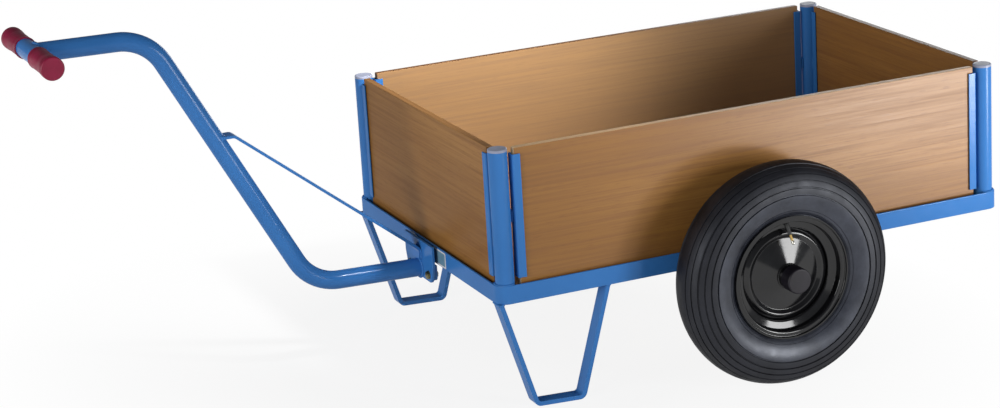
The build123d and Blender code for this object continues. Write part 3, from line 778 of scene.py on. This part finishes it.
riser_depth = BAR_RADIUS * hypot(1, RISER_LEAN)
for face in (1, -1):
    lift = face * (STAY_THICKNESS / 2 + TAB_BEAD_OFF)
    crease = []
    for step in range(TAB_BEAD_POINTS):
        aside = STAY_HALF * (-1 + 2 * step / (TAB_BEAD_POINTS - 1))
        back = riser_depth * sqrt(1 - (aside / (BAR_RADIUS + TAB_BEAD_SLACK)) ** 2)
        crease.append((STAY_TOP_X + lift * RISER_LEAN - back - TAB_BEAD_OFF, aside, STAY_TOP_Z + lift))
    bead(mesh, crease, TAB_BEAD)
for aside in (1, -1):
    stay_edge = Vector((PLATE_FRONT + STAY_BEAD_AHEAD, aside * (STAY_HALF + STAY_BEAD_OFF), 0))
    bead(mesh, straight(stay_edge + UP * STAY_FOOT_LOW, stay_edge + UP * STAY_FOOT_HIGH), STAY_BEAD)
piece("drawbar_welds", mesh, [BLUE], "chassis")

# Flange bolts: their place, and as distance along the bolt and radius the washer, head, nut and bolt end
BOLT_Y = 44
BOLT_Z = -21
SPANNER = 13
HEX_SIDES = 6
HEX_CORNER = SPANNER / sqrt(3)
HEX_CHAMFER = 1.2
HEX_TOP = HEX_CORNER - HEX_CHAMFER
WASHER = ((0, 8), (1.3, 8), (1.6, 7.6))
WASHER_STEPS = 32
BOLT_HEAD = ((1.6, HEX_CORNER), (4.4, HEX_CORNER), (5.2, HEX_TOP))
BOLT_NUT = ((0, HEX_CORNER), (2.6, HEX_CORNER), (3.2, HEX_TOP))
BOLT_END = ((3.2, 3.4), (4, 3.4), (4.6, 2.8))
BOLT_END_STEPS = 24
mesh = bmesh.new()
for aside in (1, -1):
    front = Vector((PLATE_FRONT, aside * BOLT_Y, BOLT_Z))
    back = Vector((BRACKET_TAIL_BACK, aside * BOLT_Y, BOLT_Z))
    lathe(mesh, WASHER, front, AHEAD, UP, WASHER_STEPS)
    lathe(mesh, BOLT_HEAD, front, AHEAD, UP, HEX_SIDES)
    lathe(mesh, BOLT_NUT, back, -AHEAD, UP, HEX_SIDES)
    lathe(mesh, BOLT_END, back, -AHEAD, UP, BOLT_END_STEPS)
piece("flange_bolts", mesh, [ZINC], "chassis")

# Blank sticker on the frame's front face: a pale border and a plain field, with corners as (Y, Z)
STICKER_LOW = (42, 1.6)
STICKER_HIGH = (98, 31)
STICKER_FRONT = FRAME_FRONT + 0.25
STICKER_CORNER = 1.5
FIELD_INSET_Y = 4
FIELD_INSET_Z = 3
FIELD_LOW = (STICKER_LOW[0] + FIELD_INSET_Y, STICKER_LOW[1] + FIELD_INSET_Z)
FIELD_HIGH = (STICKER_HIGH[0] - FIELD_INSET_Y, STICKER_HIGH[1] - FIELD_INSET_Z)
FIELD_BACK = FRAME_FRONT + 0.2
FIELD_FRONT = FRAME_FRONT + 0.35
FIELD_CORNER = 1
mesh = bmesh.new()
rounded_plate(mesh, STICKER_LOW, STICKER_HIGH, FRAME_FRONT, STICKER_FRONT, STICKER_CORNER, finish=0)
rounded_plate(mesh, FIELD_LOW, FIELD_HIGH, FIELD_BACK, FIELD_FRONT, FIELD_CORNER, finish=1)
piece("blank_sticker", mesh, [LABEL, FIELD], "chassis")

# Floor: white as seen, still shaded where the cart stands. Metres, and the share of white near and far
FLOOR_HALF = 30
FLOOR_CELLS = 8
SHADED_SPAN = (0.4, 1.0)
WHITE_SHARE = (0.88, 1)
FLOOR_GREY = (0.8, 0.8, 0.8, 1)
WHITE = (1, 1, 1, 1)
floor_mesh = bmesh.new()
bmesh.ops.create_grid(floor_mesh, x_segments=FLOOR_CELLS, y_segments=FLOOR_CELLS, size=FLOOR_HALF)
floor_data = bpy.data.meshes.new("floor")
floor_mesh.to_mesh(floor_data)
floor_mesh.free()
floor = bpy.data.objects.new("floor", floor_data)
scene.collection.objects.link(floor)
ground = new_material("pale_floor")
path = ground.add("ShaderNodeLightPath").outputs
seen = path["Is Camera Ray"]
for ray in ("Is Glossy Ray", "Is Transmission Ray"):
    seen = ground.add("ShaderNodeMath", {0: seen, 1: path[ray]}, operation="MAXIMUM").outputs["Value"]
white = ground.spread(ground.vector("LENGTH", ground.here()), SHADED_SPAN, WHITE_SHARE)
matt = ground.add("ShaderNodeBsdfDiffuse", {"Color": FLOOR_GREY}).outputs["BSDF"]
glow = ground.add("ShaderNodeEmission", {"Color": WHITE, "Strength": 1}).outputs["Emission"]
lit = ground.add("ShaderNodeMixShader", {0: white, 1: matt, 2: glow}).outputs["Shader"]
shown = ground.add("ShaderNodeMixShader", {0: seen, 1: matt, 2: lit}).outputs["Shader"]
ground.put(ground.tree.nodes["Material Output"].inputs["Surface"], shown)
ground.tree.nodes.remove(ground.shader)
ground.holder.cycles.emission_sampling = "NONE"
floor_data.materials.append(ground.holder)

# Studio room: pale at the walls, dim overhead
ROOM_SPAN = (0, 0.7)
ROOM_STRENGTH = (0.36, 0.1)
ROOM_COLOUR = (0.92, 0.95, 1, 1)
room = Nodes(bpy.data.worlds.new("studio"))
scene.world = room.holder
toward = room.add("ShaderNodeTexCoord").outputs["Generated"]
climb = room.add("ShaderNodeSeparateXYZ", {"Vector": toward}).outputs["Z"]
sky = room.tree.nodes["Background"]
room.put(sky.inputs["Color"], ROOM_COLOUR)
room.put(sky.inputs["Strength"], room.spread(climb, ROOM_SPAN, ROOM_STRENGTH))


def hang(light, place, aim):
    """Hangs a light at a place and points it at another."""
    lamp = bpy.data.objects.new(light.name, light)
    lamp.location = place
    lamp.rotation_euler = (Vector(aim) - Vector(place)).to_track_quat("-Z", "Y").to_euler()
    scene.collection.objects.link(lamp)


# Softboxes: name, place, what it points at, width, height, watts, spread in degrees
SOFTBOXES = (
    ("right_key", (-2.35, 3.3, 0.85), (-0.45, 0.2, 0.35), 1.3, 1.2, 65, 180),
    ("right_low", (-1.72, 1.75, 0.16), (-0.8, 0.33, 0.4), 0.9, 0.3, 1.15, 34),
    ("left_fill", (5.2, 2.4, 1.2), (0.3, 0.0, 0.35), 3.4, 2.6, 180, 180),
    ("back_fill", (-3.4, -3.9, 1.2), (0.0, 0.0, 0.3), 2.0, 1.6, 55, 180),
)
for name, place, aim, width, height, watts, spread in SOFTBOXES:
    softbox = bpy.data.lights.new(name, "AREA")
    softbox.shape = "RECTANGLE"
    softbox.size = width
    softbox.size_y = height
    softbox.energy = watts
    softbox.spread = radians(spread)
    hang(softbox, place, aim)

# Spotlight into the tray, on the far wall's front half
SPOT_PLACE = (-0.45, 1.3, 2.1)
SPOT_AIM = (0.02, -0.33, 0.5)
spot = bpy.data.lights.new("tray_spot", "SPOT")
spot.energy = 430
spot.spot_size = radians(31)
spot.spot_blend = 1
spot.shadow_soft_size = 0.12
hang(spot, SPOT_PLACE, SPOT_AIM)

# Camera beside the cart's front, looking a little down: metres and degrees
CAMERA_PLACE = (1.8935, 4.3418, 1.5992)
CAMERA_HEADING = 156.383
CAMERA_DIP = 15.633
CAMERA_ROLL = -0.86
lens = bpy.data.cameras.new("camera")
lens.sensor_width = 36
lens.lens = 96.569
camera = bpy.data.objects.new("camera", lens)
camera.location = CAMERA_PLACE
heading = Matrix.Rotation(radians(CAMERA_HEADING), 3, "Z")
pitch = Matrix.Rotation(radians(90 - CAMERA_DIP), 3, "X")
roll = Matrix.Rotation(radians(CAMERA_ROLL), 3, "Z")
camera.rotation_euler = (heading @ pitch @ roll).to_euler()
scene.collection.objects.link(camera)
scene.camera = camera
